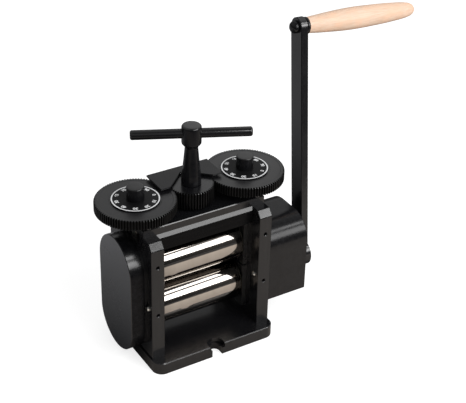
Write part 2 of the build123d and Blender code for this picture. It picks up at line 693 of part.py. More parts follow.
# ---- right housing: box with rounded shoulders over the reduction gears, open underneath -----
gearbox_back = profile_x(housing_face(0.0), side_outer_x, gearbox_back_x)
gearbox_back = gearbox_back - rod_x(back_hole, side_outer_x - 1, gearbox_back_x + 1, 0, lower_axis_z)
gearbox_back = gearbox_back - rod_x(counter_shaft_radius + seat_clearance, side_outer_x - 1,
                                    gearbox_back_x + 1, 0, counter_axis_z)
housing = profile_x(housing_face(0.0), gearbox_back_x, housing_end_x)
housing = chamfer(housing.edges().group_by(Axis.X)[-1], housing_edge)
cavity = profile_x(housing_face(housing_wall), gearbox_back_x - 1, housing_wall_x)
floor_cut = box(gearbox_back_x - 1, housing_wall_x, -housing_half_width + housing_wall,
                housing_half_width - housing_wall, housing_bottom_z - 1, housing_bottom_z + 1)
housing = housing - cavity - floor_cut
crank_boss_wall = rod_x(housing_boss_radius, housing_boss_x, housing_wall_x + 1, 0, lower_axis_z)
counter_boss = rod_x(counter_shaft_radius + 4.0, sleeve_end_x + 0.5, housing_wall_x + 1, 0,
                     counter_axis_z)
housing = housing + crank_boss_wall + counter_boss
housing = housing - rod_x(crank_bush_radius + seat_clearance, housing_boss_x - 1, housing_end_x + 1,
                          0, lower_axis_z)
housing = housing - rod_x(counter_shaft_radius + seat_clearance, sleeve_end_x, housing_wall_x, 0,
                          counter_axis_z)
housing_screw_length = housing_end_x - side_outer_x + housing_screw_grip
housing_screws = []
for side in (-1, 1):
    for z in housing_screw_z:
        y = side * housing_screw_y
        housing = housing - rod_x(housing_screw_radius + seat_clearance, housing_wall_x - 1,
                                  housing_end_x + 1, y, z)
        housing = housing - rod_x(housing_screw_radius * head_ratio + 0.3,
                                  housing_end_x - housing_head_height, housing_end_x + 1, y, z)
        gearbox_back = gearbox_back - rod_x(housing_screw_radius + seat_clearance, side_outer_x - 1,
                                            gearbox_back_x + 1, y, z)
        right_plate = right_plate - rod_x(housing_screw_radius + seat_clearance,
                                          side_outer_x - housing_screw_grip - 1, side_outer_x + 1, y, z)
        plane = Plane(origin=(housing_end_x - housing_head_height, y, z), x_dir=(0, 1, 0),
                      z_dir=(1, 0, 0))
        housing_screws.append(plane * cap_screw(housing_screw_radius,
                                                housing_screw_length - housing_head_height,
                                                housing_head_height - 0.2))
parts["gearbox_back_plate"] = gearbox_back
parts["gearbox_housing"] = housing
parts["housing_screws"] = Compound(children=housing_screws)
parts["left_side_plate"] = left_plate
parts["right_side_plate"] = right_plate
crank_bush = rod_x(crank_bush_radius, housing_boss_x, housing_end_x, 0, lower_axis_z)
crank_bush = crank_bush - rod_x(crank_shaft_radius + running_clearance, housing_boss_x - 1,
                                housing_end_x + 1, 0, lower_axis_z)
parts["crank_shaft_bush"] = crank_bush

# ---- crank shaft and its pinion -------------------------------------------------------------
crank_pinion = spur_gear(first_stage_module, crank_pinion_teeth, first_stage_width,
                         reduction_backlash, 90.0)
crank_pinion = crank_pinion - rod_z(crank_spigot_radius + seat_clearance, -1, first_stage_width + 1)
parts["crank_pinion"] = along_x(crank_pinion, first_stage_inner_x, 0, lower_axis_z)
crank_seat_x = crank_boss_outer_x - crank_disc_recess
crank_shaft = rod_x(crank_shaft_radius, first_stage_outer_x, crank_seat_x)
crank_shaft = crank_shaft + rod_x(crank_spigot_radius, output_outer_x - crank_spigot_length,
                                  first_stage_outer_x + 1)
parts["crank_shaft"] = Pos(0, 0, lower_axis_z) * crank_shaft

# ---- crank arm: flat bar on a round boss, leaning outward and set back at rest ---------------
# The crank is drawn upright about its own axis and then turned to its rest angle.
crank_rest = Pos(0, 0, lower_axis_z) * Rot(-crank_lean_back, 0, 0)
lean = Pos(crank_arm_x, 0, 0) * Rot(0, crank_lean_out, 0)
half_arm = crank_arm_width / 2
arm = box(0, crank_arm_thickness, -half_arm, half_arm, 0, crank_arm_length)
arm = arm + rod_x(half_arm, 0, crank_arm_thickness, 0, crank_arm_length)
arm = arm - rod_x(handle_bolt_radius + seat_clearance, -1, crank_arm_thickness + 1, 0, crank_arm_length)
arm = chamfer(arm.edges().filter_by(Axis.Z), 0.8)
arm = lean * arm + rod_x(crank_boss_radius, crank_boss_inner_x, crank_boss_outer_x)
arm = arm - rod_x(crank_shaft_radius + seat_clearance, crank_boss_inner_x - 3, crank_seat_x)
arm = arm - rod_x(crank_disc_radius + 0.2, crank_seat_x, crank_boss_outer_x + 3)
parts["crank_arm"] = crank_rest * arm
disc = rod_x(crank_disc_radius, crank_seat_x, crank_boss_outer_x - 0.4)
disc = disc - along_x(extrude(RegularPolygon(4.0, 6), amount=3.0), crank_boss_outer_x - 2.0)
parts["crank_retaining_disc"] = crank_rest * disc

# ---- handle: domed bolt through the arm, ferrule and turned wooden grip that spin on it ------
handle = crank_rest * lean * Pos(0, 0, crank_arm_length) * Rot(0, 90, 0)
dome = revolve(Plane.XZ * make_face([
    Line((0, 0), (handle_head_radius, 0)), Line((handle_head_radius, 0), (handle_head_radius, handle_head_rim)),
    ThreePointArc((handle_head_radius, handle_head_rim), (handle_head_radius * 0.78, handle_head_height * 0.72),
                  (handle_head_flat, handle_head_height)),
    Line((handle_head_flat, handle_head_height), (0, handle_head_height)),
    Line((0, handle_head_height), (0, 0))]), Axis.Z)
bolt = Rot(180, 0, 0) * dome + rod_z(handle_bolt_radius, 0, handle_bolt_length)
parts["handle_bolt"] = handle * bolt

ferrule_start = crank_arm_thickness + ferrule_gap
grip_start = ferrule_start + ferrule_length
ferrule = rod_z(ferrule_radius, ferrule_start, grip_start)
ferrule = chamfer(ferrule.edges().group_by(Axis.Z)[0], 1.2)
ferrule = ferrule - rod_z(handle_bolt_radius + running_clearance, ferrule_start - 1, grip_start + 1)
parts["grip_ferrule"] = handle * ferrule
outline = [(radius, grip_start + share * grip_length) for share, radius in grip_outline]
grip_end_z = grip_start + grip_length
grip_shoulder = (outline[-1][0] * 0.7, (outline[-1][1] + 2 * grip_end_z) / 3)
grip_edges = [Line((0, grip_start), outline[0]), Spline(*outline),
              ThreePointArc(outline[-1], grip_shoulder, (grip_end_flat, grip_end_z)),
              Line((grip_end_flat, grip_end_z), (0, grip_end_z)), Line((0, grip_end_z), (0, grip_start))]
grip = revolve(Plane.XZ * make_face(grip_edges), Axis.Z)
grip = grip - rod_z(handle_bolt_radius + running_clearance, grip_start - 1, handle_bolt_length + 1)
parts["wooden_grip"] = handle * grip

# ---- dial gears: adjusting screw, gear, dial disc and knob on each side ----------------------
for label, side in (("left", -1), ("right", 1)):
    tooth_angle = 180.0 / dial_teeth
    gear = spur_gear(dial_module, dial_teeth, dial_thickness, dial_backlash, tooth_angle)
    gear = gear + rod_z(dial_boss_radius, -dial_lift + dial_boss_gap, 0.5)
    gear = gear - rod_z(dial_screw_radius + seat_clearance, -dial_lift - 1, dial_thickness + 1)
    parts[label + "_dial_gear"] = Pos(side * dial_axis_x, 0, dial_bottom_z) * gear
    screw = rod_z(dial_screw_radius, screw_tip_z, dial_disc_top_z)
    collar_bottom_z = side_top_z - collar_gap - dial_collar_thickness
    screw = screw + rod_z(dial_collar_radius, collar_bottom_z, side_top_z - collar_gap)
    screw = chamfer(screw.edges().group_by(Axis.Z)[0], 1.0)
    parts[label + "_adjusting_screw"] = Pos(side * dial_axis_x, 0, 0) * screw
    dial_disc = rod_z(dial_disc_radius, dial_top_z, dial_disc_top_z)
    dial_disc = chamfer(dial_disc.edges().group_by(Axis.Z)[-1], 0.4)
    dial_disc = dial_disc - rod_z(dial_screw_radius + seat_clearance, dial_top_z - 1, dial_disc_top_z + 1)
    parts[label + "_dial_disc"] = Pos(side * dial_axis_x, 0, 0) * dial_disc
    knob = rod_z(dial_knob_radius, dial_disc_top_z, dial_disc_top_z + dial_knob_height)
    knob = chamfer(knob.edges().group_by(Axis.Z)[-1], 0.8)
    parts[label + "_dial_knob"] = Pos(side * dial_axis_x, 0, 0) * knob

# ---- spindle: pinion, tapered hub and cross bar ----------------------------------------------
pinion = spur_gear(dial_module, pinion_teeth, pinion_height, dial_backlash, 0.0)
pinion = pinion - rod_z(spindle_shaft_radius + seat_clearance, -1, pinion_height + 1)
parts["adjusting_pinion"] = Pos(0, 0, pinion_bottom_z) * pinion
collar_top_z = side_top_z - collar_gap
shaft_bottom_z = collar_top_z - spindle_collar_thickness
collar = rod_z(spindle_collar_radius, shaft_bottom_z, collar_top_z)
parts["spindle_collar"] = collar - rod_z(spindle_shaft_radius + seat_clearance, shaft_bottom_z - 1,
                                         collar_top_z + 1)
spindle = revolve_z([
    (0, shaft_bottom_z), (spindle_shaft_radius, shaft_bottom_z), (spindle_shaft_radius, pinion_top_z),
    (spindle_foot_radius, pinion_top_z), (spindle_foot_radius, pinion_top_z + 4.0),
    (spindle_waist_radius, spindle_waist_z), (spindle_taper_radius, spindle_taper_z),
    (spindle_neck_radius, spindle_neck_z), (hub_radius, hub_bottom_z),
    (hub_radius, hub_top_z - hub_chamfer), (hub_radius - hub_chamfer, hub_top_z), (0, hub_top_z)])
bar_rest = Rot(0, 0, cross_bar_angle)
bar_hole = rod_x(cross_bar_radius + seat_clearance, -hub_radius - 1, hub_radius + 1, 0, cross_bar_z)
parts["spindle"] = spindle - bar_rest * bar_hole
bar = rod_x(cross_bar_radius, -cross_bar_length / 2, cross_bar_length / 2, 0, cross_bar_z)
bar = chamfer(bar.edges().filter_by(GeomType.CIRCLE), cross_bar_chamfer)
parts["cross_bar"] = bar_rest * bar

for name, shape in parts.items():
    export_step(shape, "parts/" + name + ".step")
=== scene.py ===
import math

import bpy
import numpy as np
from mathutils import Matrix, Vector


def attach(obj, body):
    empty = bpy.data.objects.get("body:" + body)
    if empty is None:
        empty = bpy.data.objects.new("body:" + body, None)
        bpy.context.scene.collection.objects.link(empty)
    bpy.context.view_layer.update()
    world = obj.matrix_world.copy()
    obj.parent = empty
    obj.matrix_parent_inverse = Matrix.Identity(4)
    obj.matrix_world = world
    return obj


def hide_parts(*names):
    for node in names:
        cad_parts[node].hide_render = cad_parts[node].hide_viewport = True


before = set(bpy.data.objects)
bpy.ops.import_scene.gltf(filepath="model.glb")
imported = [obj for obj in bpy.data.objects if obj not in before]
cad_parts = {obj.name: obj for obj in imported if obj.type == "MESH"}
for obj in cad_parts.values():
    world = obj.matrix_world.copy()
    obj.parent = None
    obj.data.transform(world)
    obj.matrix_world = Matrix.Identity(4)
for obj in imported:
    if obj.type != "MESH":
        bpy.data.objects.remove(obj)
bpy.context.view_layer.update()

scene = bpy.context.scene
mm = 0.001

# ---- camera ---------------------------------------------------------------------------------
# A long lens 1.5 m away, above and to the left of the mill's front and rolled a little. Angles
# are in radians, the place is in metres, and lens and film width are in millimetres.
turn, tilt, roll_over = -0.559, 0.553, 0.027
camera_place = Vector((-0.5925, -1.0363, 0.9140))
lens_length, film_width = 96.06, 36.0
backward = Vector((math.sin(turn) * math.cos(tilt), -math.cos(turn) * math.cos(tilt), math.sin(tilt)))
level_right = Vector((math.cos(turn), math.sin(turn), 0.0))
level_up = backward.cross(level_right)
view_right = math.cos(roll_over) * level_right + math.sin(roll_over) * level_up
view_up = -math.sin(roll_over) * level_right + math.cos(roll_over) * level_up
camera = bpy.data.objects.new("studio_camera", bpy.data.cameras.new("studio_camera"))
scene.collection.objects.link(camera)
camera.matrix_world = (Matrix.Translation(camera_place)
                       @ Matrix((view_right, view_up, backward)).transposed().to_4x4())
camera.data.lens = lens_length
camera.data.sensor_width = film_width
camera.data.sensor_fit = "HORIZONTAL"
scene.camera = camera
scene.view_settings.view_transform = "Standard"


# ---- studio: pale floor, two soft panels, white surround ---------------------------------------
# A pale board under a white tent, a little warm and brightest in front of the mill. The low wide
# panel and the narrow strip above it make the two bands of light on bevels and rolls. Seen
# directly, board and surround are white.
def hex_linear(code):
    """sRGB hex colour as linear RGBA: v / 12.92 up to 0.04045, ((v + 0.055) / 1.055)^2.4 above."""
    value = np.array([int(code[i:i + 2], 16) for i in (1, 3, 5)]) / 255.0
    value = np.where(value <= 0.04045, value / 12.92, ((value + 0.055) / 1.055) ** 2.4)
    return (*value.tolist(), 1.0)


def add_node(tree, kind, inputs=None, **settings):
    """Adds a node. inputs maps a socket's name or number to a value or to another node's output."""
    node = tree.nodes.new(kind)
    for key, value in settings.items():
        setattr(node, key, value)
    for key, value in (inputs or {}).items():
        if isinstance(value, bpy.types.NodeSocket):
            tree.links.new(value, node.inputs[key])
        else:
            node.inputs[key].default_value = value
    return node


floor_half = 4.0
floor_mesh = bpy.data.meshes.new("table_top")
floor_mesh.from_pydata([(-floor_half, -floor_half, 0), (floor_half, -floor_half, 0),
                        (floor_half, floor_half, 0), (-floor_half, floor_half, 0)], [], [(0, 1, 2, 3)])
floor = bpy.data.objects.new("table_top", floor_mesh)
scene.collection.objects.link(floor)

# The board is pale in a strip before the mill and fades towards the viewer. From under the mill backwards
# it is grey, a painted shadow of the mill that shows only in reflections, and it is pale again far out
# behind on the left.
front_fade_start, front_fade_end = -0.42, -0.62
back_fade_start, back_fade_end = -0.08, 0.0
corner_direction = (-1.8, 1.0, 0.0)
corner_start, corner_full = 0.12, 0.70
pale_board = bpy.data.materials.new("pale_board")
pale_board.use_nodes = True
tree = pale_board.node_tree
tree.nodes.remove(tree.nodes["Principled BSDF"])
place = add_node(tree, "ShaderNodeTexCoord")
spot = add_node(tree, "ShaderNodeSeparateXYZ", {0: place.outputs["Object"]})
fall = add_node(tree, "ShaderNodeMapRange", {"Value": spot.outputs["Y"],
                "From Min": front_fade_start, "From Max": front_fade_end}, interpolation_type="SMOOTHSTEP")
behind = add_node(tree, "ShaderNodeMapRange", {"Value": spot.outputs["Y"],
                  "From Min": back_fade_start, "From Max": back_fade_end}, interpolation_type="SMOOTHSTEP")
left_back = add_node(tree, "ShaderNodeVectorMath", {0: place.outputs["Object"], 1: corner_direction},
                     operation="DOT_PRODUCT")
beyond_painted_shadow = add_node(tree, "ShaderNodeMapRange", {"Value": left_back.outputs["Value"],
                   "From Min": corner_start, "From Max": corner_full})
# Painted shadow: grey near the mill's back, pale again where the shadow would end on the left.
painted_mill_shadow_colour = add_node(tree, "ShaderNodeMix", {0: beyond_painted_shadow.outputs["Result"], 6: hex_linear("#3b3b3d"),
                       7: hex_linear("#cfcfd2")}, data_type="RGBA")
near_colour = add_node(tree, "ShaderNodeMix", {0: behind.outputs["Result"], 6: hex_linear("#ded5cc"),
                       7: painted_mill_shadow_colour.outputs[2]}, data_type="RGBA")
board_colour = add_node(tree, "ShaderNodeMix", {0: fall.outputs["Result"], 6: near_colour.outputs[2],
                        7: hex_linear("#454546")}, data_type="RGBA")
board = add_node(tree, "ShaderNodeBsdfDiffuse", {"Color": board_colour.outputs[2]})
# Seen directly it is white paper: part of its light is its own, and the rest takes the shadow.
glow = add_node(tree, "ShaderNodeEmission", {"Color": (1, 1, 1, 1), "Strength": 0.72})
veil = add_node(tree, "ShaderNodeBsdfDiffuse", {"Color": (0.5, 0.5, 0.5, 1)})
paper = add_node(tree, "ShaderNodeAddShader", {0: glow.outputs[0], 1: veil.outputs[0]})
path = add_node(tree, "ShaderNodeLightPath")
shown = add_node(tree, "ShaderNodeMixShader", {0: path.outputs["Is Camera Ray"], 1: board.outputs[0],
                 2: paper.outputs[0]})
tree.links.new(shown.outputs[0], tree.nodes["Material Output"].inputs["Surface"])
floor_mesh.materials.append(pale_board)

# Panels: label, rise above the horizon in degrees, width and height in metres, and power in watts.
panel_turn = math.radians(25.0)
panel_distance = 2.5
panel_focus = Vector((0, 0, 0.12))
for label, rise, width, height, power in (("wide_panel", 26.0, 2.10, 0.88, 35.3),
                                          ("narrow_strip", 47.8, 2.10, 0.37, 15.7)):
    lift = math.radians(rise)
    aim = Vector((math.sin(panel_turn) * math.cos(lift), -math.cos(panel_turn) * math.cos(lift),
                  math.sin(lift)))
    lamp = bpy.data.lights.new(label, "AREA")
    lamp.shape = "RECTANGLE"
    lamp.size, lamp.size_y, lamp.energy = width, height, power
    panel = bpy.data.objects.new(label, lamp)
    panel.matrix_world = (Matrix.Translation(panel_focus + panel_distance * aim)
                          @ aim.to_track_quat("Z", "Y").to_matrix().to_4x4())
    scene.collection.objects.link(panel)

# In reflections the tent is dim near the horizon, dimmer on the viewer's side, most of all
# overhead, and brighter on the right. Its diffuse light is even, and seen directly it is white.
surround = bpy.data.worlds.new("white_tent")
scene.world = surround
surround.use_nodes = True
tree = surround.node_tree
tree.nodes.clear()
look = add_node(tree, "ShaderNodeTexCoord")
direction = add_node(tree, "ShaderNodeSeparateXYZ", {0: look.outputs["Generated"]})
low = add_node(tree, "ShaderNodeMapRange", {"Value": direction.outputs["Z"], "From Min": 0.18,
               "From Max": 0.36, "To Min": 0.07, "To Max": 0.48}, interpolation_type="SMOOTHSTEP")
toward = add_node(tree, "ShaderNodeMapRange", {"Value": direction.outputs["Y"], "From Min": -0.35,
                  "From Max": 0.15, "To Min": 1.0, "To Max": 0.0}, interpolation_type="SMOOTHSTEP")
high = add_node(tree, "ShaderNodeMapRange", {"Value": direction.outputs["Z"], "From Min": 0.80,
                "From Max": 0.87, "To Min": 0.62, "To Max": 0.15}, interpolation_type="SMOOTHSTEP")
dim = add_node(tree, "ShaderNodeMix", {0: toward.outputs["Result"], 2: 1.0, 3: high.outputs["Result"]})
rightward = add_node(tree, "ShaderNodeMapRange", {"Value": direction.outputs["X"], "From Min": 0.34,
                     "From Max": 0.48, "To Min": 0.72, "To Max": 1.3})
tent = add_node(tree, "ShaderNodeMath", {0: low.outputs["Result"], 1: rightward.outputs["Result"]},
                operation="MULTIPLY")
sheen = add_node(tree, "ShaderNodeMath", {0: tent.outputs[0], 1: dim.outputs[0]},
                 operation="MULTIPLY")
path = add_node(tree, "ShaderNodeLightPath")
fill = add_node(tree, "ShaderNodeMix", {0: path.outputs["Is Glossy Ray"], 2: 0.62,
                3: sheen.outputs[0]})
level = add_node(tree, "ShaderNodeMix", {0: path.outputs["Is Camera Ray"], 2: fill.outputs[0], 3: 1.0})
sky = add_node(tree, "ShaderNodeBackground", {"Color": (1, 1, 1, 1), "Strength": level.outputs[0]})
add_node(tree, "ShaderNodeOutputWorld", {"Surface": sky.outputs[0]})


# ---- plates, covers, tie bars and crank arm ----------------------------------------------------
# Milled steel plates and castings under black stove enamel. The baked film is satin, with a
# faint orange peel and slightly cloudy gloss, so bands of light stay sharp but not mirror-like.
def dress(material, *names):
    """Gives CAD nodes a material, leaving their shapes alone."""
    for name in names:
        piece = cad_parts[name]
        piece.data.materials.clear()
        piece.data.materials.append(material)


def wet_coat(material, facing, start, full, rough, weight=1.0):
    """Clear gloss where the surface normal's product with `facing` goes from start to full."""
    tree = material.node_tree
    shader = tree.nodes["Principled BSDF"]
    lie = add_node(tree, "ShaderNodeNewGeometry")
    turned_to = add_node(tree, "ShaderNodeVectorMath", {0: lie.outputs["Normal"], 1: facing},
                         operation="DOT_PRODUCT")
    wet = add_node(tree, "ShaderNodeMapRange", {"Value": turned_to.outputs["Value"],
                   "From Min": start, "From Max": full, "To Max": weight})
    tree.links.new(wet.outputs["Result"], shader.inputs["Coat Weight"])
    shader.inputs["Coat Roughness"].default_value = rough


def baked_enamel(name, low_tone, high_tone, low_rough, high_rough, shine, mark_size):
    """Enamel over a machined face: cloudy gloss, and marks of the given size in millimetres."""
    peel_size, cloud_size = 1.6 * mm, 28 * mm
    material = bpy.data.materials.new(name)
    material.use_nodes = True
    tree = material.node_tree
    film = tree.nodes["Principled BSDF"]
    place = add_node(tree, "ShaderNodeTexCoord")
    peel = add_node(tree, "ShaderNodeTexNoise", {"Vector": place.outputs["Object"],
                    "Scale": 1 / peel_size, "Detail": 2.0})
    clouds = add_node(tree, "ShaderNodeTexNoise", {"Vector": place.outputs["Object"],
                      "Scale": 1 / cloud_size, "Detail": 4.0, "Roughness": 0.6})
    stretch = add_node(tree, "ShaderNodeMapping", {"Vector": place.outputs["Object"],
                       "Scale": tuple(1 / (size * mm) for size in mark_size)})
    marks = add_node(tree, "ShaderNodeTexNoise", {"Vector": stretch.outputs[0], "Scale": 1.0,
                     "Detail": 3.0, "Roughness": 0.6})
    rough = add_node(tree, "ShaderNodeMapRange", {"Value": clouds.outputs[0], "From Min": 0.3,
                     "From Max": 0.7, "To Min": low_rough, "To Max": high_rough})
    depth = add_node(tree, "ShaderNodeMapRange", {"Value": marks.outputs[0], "From Min": 0.4,
                     "From Max": 0.75})
    tone = add_node(tree, "ShaderNodeMix", {0: depth.outputs["Result"], 6: hex_linear(low_tone),
                    7: hex_linear(high_tone)}, data_type="RGBA")
    fine = add_node(tree, "ShaderNodeBump", {"Height": peel.outputs[0], "Strength": 0.10,
                    "Distance": 0.05 * mm})
    coarse = add_node(tree, "ShaderNodeBump", {"Height": marks.outputs[0], "Strength": 0.10,
                      "Distance": 0.08 * mm, "Normal": fine.outputs[0]})
    tree.links.new(tone.outputs[2], film.inputs["Base Color"])
    tree.links.new(rough.outputs["Result"], film.inputs["Roughness"])
    tree.links.new(coarse.outputs[0], film.inputs["Normal"])
    film.inputs["Specular IOR Level"].default_value = shine
    return material


# Grinding marks run up the plates and arm, and show through the enamel as faint upright streaks.
plate_enamel = baked_enamel("stove_enamel_on_ground_plate", "#0d0d0f", "#1b1b1d", low_rough=0.17,
                            high_rough=0.27, shine=0.45, mark_size=(1.1, 1.1, 55.0))
# Castings keep the sand's even mottle, about 4 mm across, and shine a little less.
cast_enamel = baked_enamel("stove_enamel_on_castings", "#0d0d0f", "#19191b", low_rough=0.18,
                           high_rough=0.27, shine=0.31, mark_size=(4.0, 4.0, 4.0))
# The drum's enamel is darker and shines less. A clear coat on what faces out to the left or up makes its
# face and upper curve glossy, while its flanks stay dull.
drum_enamel = baked_enamel("stove_enamel_on_drum", "#08080a", "#131315", low_rough=0.20,
                           high_rough=0.30, shine=0.10, mark_size=(4.0, 4.0, 4.0))
wet_coat(drum_enamel, facing=(-1, 0, 1), start=0.2, full=0.6, rough=0.20)
# Faces that look forward and up at about 45 degrees, the bevels, take a clear gloss coat, most of all on
# the tie bars, whose enamel is darker and duller elsewhere and streaked along the bar.
wet_coat(plate_enamel, facing=(0, -1, 1), start=1.1, full=1.35, rough=0.17, weight=0.8)
darker_tie_bar_enamel = baked_enamel("darker_duller_enamel_on_tie_bars", "#050506", "#0d0d0e", low_rough=0.22,
                           high_rough=0.32, shine=0.07, mark_size=(40.0, 1.2, 1.2))
wet_coat(darker_tie_bar_enamel, facing=(0, -1, 1), start=1.1, full=1.35, rough=0.17)
dress(plate_enamel, "base_plate", "left_side_plate", "right_side_plate", "top_plate",
      "indicator_plate", "crank_arm", "left_cover_back_plate", "gearbox_back_plate")
dress(cast_enamel, "gearbox_housing")
dress(drum_enamel, "left_gear_cover")
dress(darker_tie_bar_enamel, "front_tie_bar", "rear_tie_bar")

# ---- screws, bearing blocks, posts and retainers -----------------------------------------------
# Machined steel blackened in hot oxide salts: a thin dark skin that keeps the cutter's grain,
# duller and a little browner than the enamel, with a metal's stronger shine at its edges.
oxide_grain, oxide_blotch = 0.8 * mm, 9 * mm
black_oxide = bpy.data.materials.new("black_oxide_on_machined_steel")
black_oxide.use_nodes = True
tree = black_oxide.node_tree
oxide = tree.nodes["Principled BSDF"]
place = add_node(tree, "ShaderNodeTexCoord")
grain = add_node(tree, "ShaderNodeTexNoise", {"Vector": place.outputs["Object"],
                 "Scale": 1 / oxide_grain, "Detail": 3.0})
blotch = add_node(tree, "ShaderNodeTexNoise", {"Vector": place.outputs["Object"],
                  "Scale": 1 / oxide_blotch, "Detail": 3.0})
oxide_rough = add_node(tree, "ShaderNodeMapRange", {"Value": blotch.outputs[0], "From Min": 0.3,
                       "From Max": 0.7, "To Min": 0.26, "To Max": 0.38})
oxide_tone = add_node(tree, "ShaderNodeMix", {0: grain.outputs[0], 6: hex_linear("#0a0a0b"),
                      7: hex_linear("#171718")}, data_type="RGBA")
bite = add_node(tree, "ShaderNodeBump", {"Height": grain.outputs[0], "Strength": 0.15,
                "Distance": 0.05 * mm})
tree.links.new(oxide_tone.outputs[2], oxide.inputs["Base Color"])
tree.links.new(oxide_rough.outputs["Result"], oxide.inputs["Roughness"])
tree.links.new(bite.outputs[0], oxide.inputs["Normal"])
oxide.inputs["IOR"].default_value = 1.75
dress(black_oxide, "base_screws", "tie_bar_screws", "top_plate_screws", "left_cover_screws",
      "housing_screws", "indicator_posts", "lower_left_bearing_block", "lower_right_bearing_block",
      "upper_left_bearing_block", "upper_right_bearing_block", "lower_gear_retainer",
      "upper_gear_retainer", "spindle_collar", "crank_retaining_disc")

# ---- bushes -----------------------------------------------------------------------------------
# Turned bearing bronze pressed into the blocks and plates: warm, with a thin brown oil stain and
# uneven gloss from the lathe's fine marks.
stain_size, lathe_mark = 5 * mm, 0.5 * mm
bearing_bronze = bpy.data.materials.new("turned_bearing_bronze")
bearing_bronze.use_nodes = True
tree = bearing_bronze.node_tree
bronze = tree.nodes["Principled BSDF"]
place = add_node(tree, "ShaderNodeTexCoord")
stain = add_node(tree, "ShaderNodeTexNoise", {"Vector": place.outputs["Object"],
                 "Scale": 1 / stain_size, "Detail": 4.0})
tool_marks = add_node(tree, "ShaderNodeTexNoise", {"Vector": place.outputs["Object"],
                      "Scale": 1 / lathe_mark, "Detail": 1.0})
bronze_tint = add_node(tree, "ShaderNodeMix", {0: stain.outputs[0], 6: hex_linear("#c8944e"),
                       7: hex_linear("#7c5a30")}, data_type="RGBA")
bronze_rough = add_node(tree, "ShaderNodeMapRange", {"Value": tool_marks.outputs[0], "To Min": 0.22,
                        "To Max": 0.40})
tree.links.new(bronze_tint.outputs[2], bronze.inputs["Base Color"])
tree.links.new(bronze_rough.outputs["Result"], bronze.inputs["Roughness"])
bronze.inputs["Metallic"].default_value = 1.0
dress(bearing_bronze, "lower_left_bush", "lower_right_bush", "upper_left_bush", "upper_right_bush",
      "spindle_bush", "crank_shaft_bush")

# ---- oil nipples ------------------------------------------------------------------------------
# Small turned brass nipples, nickel plated and pressed into the side plates: bright and slightly
# yellow, with a haze of about a millimetre where fingers and oil have dulled the plating.
haze_size = 1.2 * mm
nickel_plate = bpy.data.materials.new("nickel_plate_on_brass")
nickel_plate.use_nodes = True
tree = nickel_plate.node_tree
nickel = tree.nodes["Principled BSDF"]
place = add_node(tree, "ShaderNodeTexCoord")
haze = add_node(tree, "ShaderNodeTexNoise", {"Vector": place.outputs["Object"],
                "Scale": 1 / haze_size, "Detail": 2.0})
nickel_tint = add_node(tree, "ShaderNodeMix", {0: haze.outputs[0], 6: hex_linear("#e9e8e4"),
                       7: hex_linear("#c9c8c2")}, data_type="RGBA")
nickel_rough = add_node(tree, "ShaderNodeMapRange", {"Value": haze.outputs[0], "To Min": 0.14,
                        "To Max": 0.32})
tree.links.new(nickel_tint.outputs[2], nickel.inputs["Base Color"])
tree.links.new(nickel_rough.outputs["Result"], nickel.inputs["Roughness"])
nickel.inputs["Metallic"].default_value = 1.0
dress(nickel_plate, "oil_nipples")

# ---- gears and shafts inside the covers ---------------------------------------------------------
# Cut gear steel and ground shafts, held by keys and discs inside the covers and wiped with oil:
# grey metal under a film that is darker and duller in patches, with fine marks of the cutter.
oil_patch, cutter_mark = 7 * mm, 0.6 * mm
oiled_steel = bpy.data.materials.new("oiled_cut_gear_steel")
oiled_steel.use_nodes = True
tree = oiled_steel.node_tree
gear_metal = tree.nodes["Principled BSDF"]
place = add_node(tree, "ShaderNodeTexCoord")
oil = add_node(tree, "ShaderNodeTexNoise", {"Vector": place.outputs["Object"],
               "Scale": 1 / oil_patch, "Detail": 4.0})
cutter = add_node(tree, "ShaderNodeTexNoise", {"Vector": place.outputs["Object"],
                  "Scale": 1 / cutter_mark, "Detail": 2.0})
oil_tint = add_node(tree, "ShaderNodeMix", {0: oil.outputs[0], 6: hex_linear("#b4b3b0"),
                    7: hex_linear("#77756f")}, data_type="RGBA")
oil_rough = add_node(tree, "ShaderNodeMapRange", {"Value": oil.outputs[0], "From Min": 0.3,
                     "From Max": 0.7, "To Min": 0.22, "To Max": 0.42})
cutter_bump = add_node(tree, "ShaderNodeBump", {"Height": cutter.outputs[0], "Strength": 0.12,
                       "Distance": 0.04 * mm})
tree.links.new(oil_tint.outputs[2], gear_metal.inputs["Base Color"])
tree.links.new(oil_rough.outputs["Result"], gear_metal.inputs["Roughness"])
tree.links.new(cutter_bump.outputs[0], gear_metal.inputs["Normal"])
gear_metal.inputs["Metallic"].default_value = 1.0
dress(oiled_steel, "upper_sync_gear", "lower_sync_gear", "output_gear", "countershaft_pinion",
      "countershaft_gear", "crank_pinion", "countershaft", "countershaft_sleeve", "crank_shaft",
      "left_adjusting_screw", "right_adjusting_screw")


# ---- rolls ------------------------------------------------------------------------------------
# Hardened steel, turned, then ground and polished between centres. The faces carry very fine
# grinding lines round the roll, and the relieved shoulder at each end is left duller and darker.
def eased(points, ease, steps=4):
    """Profile whose inner corners give way to short parabolas: (1-t)^2 A + 2t(1-t) C + t^2 B,
    where A and B lie on the two runs, at most `ease` from the corner C."""
    line = np.array(points, float)
    before, corner, after = line[:-2], line[1:-1], line[2:]
    back, ahead = before - corner, after - corner
    back_length = np.linalg.norm(back, axis=1, keepdims=True)
    ahead_length = np.linalg.norm(ahead, axis=1, keepdims=True)
    start = corner + back / back_length * np.minimum(ease, 0.45 * back_length)
    end = corner + ahead / ahead_length * np.minimum(ease, 0.45 * ahead_length)
    t = np.linspace(0, 1, steps)[None, :, None]
    bend = (1 - t) ** 2 * start[:, None] + 2 * t * (1 - t) * corner[:, None] + t ** 2 * end[:, None]
    return np.concatenate([line[:1], bend.reshape(-1, 2), line[-1:]])


